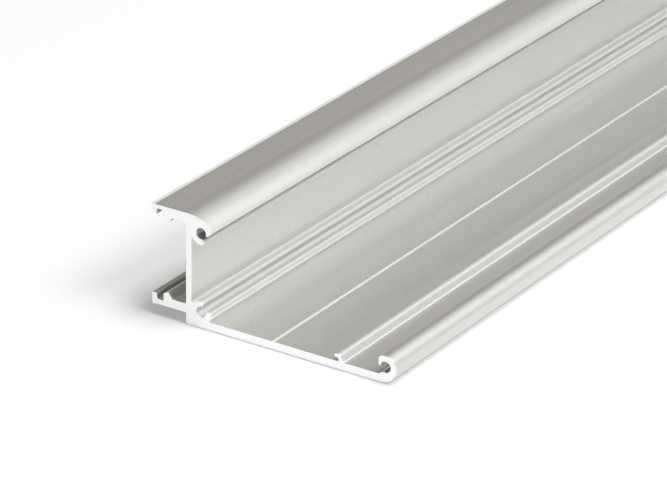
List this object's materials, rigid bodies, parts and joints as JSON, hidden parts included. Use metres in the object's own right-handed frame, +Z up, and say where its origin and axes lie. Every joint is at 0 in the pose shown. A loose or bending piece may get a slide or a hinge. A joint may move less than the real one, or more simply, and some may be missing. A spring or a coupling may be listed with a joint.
{
  "type": "led strip aluminium profile",
  "caption": "Extruded aluminium bar with a side channel for light tape and a snap-in cover, a wide flat tray, and screw ports for end caps.",
  "frame": {"origin": "middle of the bar's length and of its overall width, on the underside of the base", "axes": "+Y along the bar, away from the sawn end that the picture shows; +X from the light channel towards the curled edge of the tray; +Z up from the base"},
  "size_m": [0.042, 0.3, 0.0177],
  "materials": {
    "anodised_aluminium": "satin silver anodised, sawn ends bare"
  },
  "bodies": {
    "root": {"profile": "anodised_aluminium"}
  },
  "joints": []
}
